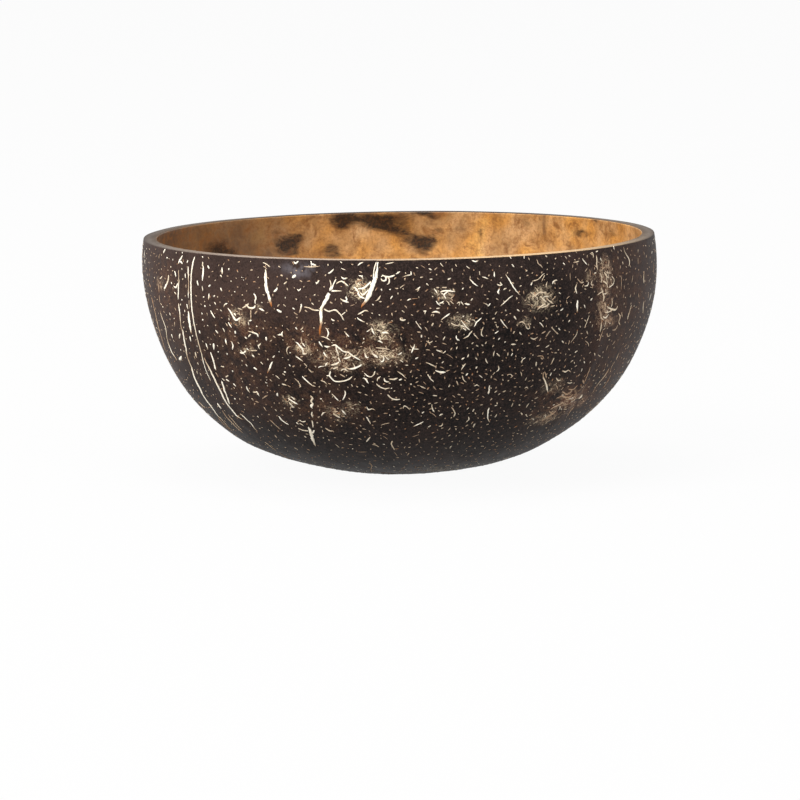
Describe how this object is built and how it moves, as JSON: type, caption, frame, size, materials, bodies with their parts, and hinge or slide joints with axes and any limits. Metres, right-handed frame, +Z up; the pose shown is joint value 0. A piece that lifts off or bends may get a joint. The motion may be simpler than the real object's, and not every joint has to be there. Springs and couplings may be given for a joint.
{
  "type": "coconut shell bowl",
  "caption": "Round bowl made of half a coconut shell, dark and flecked with pale husk fibres outside, tan inside, with a sawn rim and a small flat foot.",
  "frame": {"origin": "middle of the flat foot, on the surface that the bowl stands on", "axes": "+Z up out of the bowl's mouth, -Y towards the side that the picture shows, +X towards the higher side of the rim"},
  "size_m": [0.1354, 0.1357, 0.063],
  "materials": {
    "coconut_shell": "sanded and oiled, satin",
    "husk_fibre": "sanded flush, satin"
  },
  "bodies": {
    "root": {"shell": "coconut_shell", "left_seam_fibre": "husk_fibre", "right_seam_fibre": "husk_fibre", "rear_seam_fibre": "husk_fibre", "left_flank_fibre": "husk_fibre", "left_outer_fibre": "husk_fibre", "right_flank_fibre": "husk_fibre", "front_left_fibre": "husk_fibre", "front_fibre": "husk_fibre", "front_right_fibre": "husk_fibre", "lower_fibre": "husk_fibre"}
  },
  "joints": []
}
